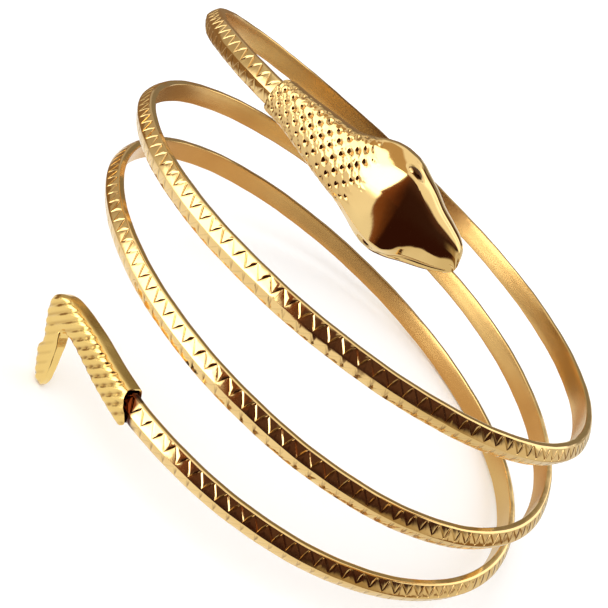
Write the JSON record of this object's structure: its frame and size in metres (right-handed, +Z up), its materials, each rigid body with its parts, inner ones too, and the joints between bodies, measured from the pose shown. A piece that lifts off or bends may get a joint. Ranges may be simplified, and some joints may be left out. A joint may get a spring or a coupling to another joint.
{
  "type": "spiral snake armlet",
  "caption": "Spiral upper-arm bracelet in the form of a snake: a long springy band with a scaled neck and smooth head at the top end and a folded zigzag tail at the bottom end.",
  "frame": {"origin": "on the ground under the middle of the armlet's bounding box, as it rests by itself on its lowest turn and its tail tip", "axes": "+Z up from the ground, about 11 degrees off the axis of the coil; -Y towards the side with the head and the tail; +X to the right of someone who faces that side"},
  "size_m": [0.0802, 0.0811, 0.0543],
  "materials": {
    "band_metal": "polished gold-tone plating with a stamped scale relief",
    "cast_metal": "polished gold-tone plating, smooth on the head and scaled on the neck",
    "tail_metal": "gold-tone plating with shallow cross grooves"
  },
  "bodies": {
    "root": {"coil_band": "band_metal", "head": "cast_metal", "tail": "tail_metal"}
  },
  "joints": []
}
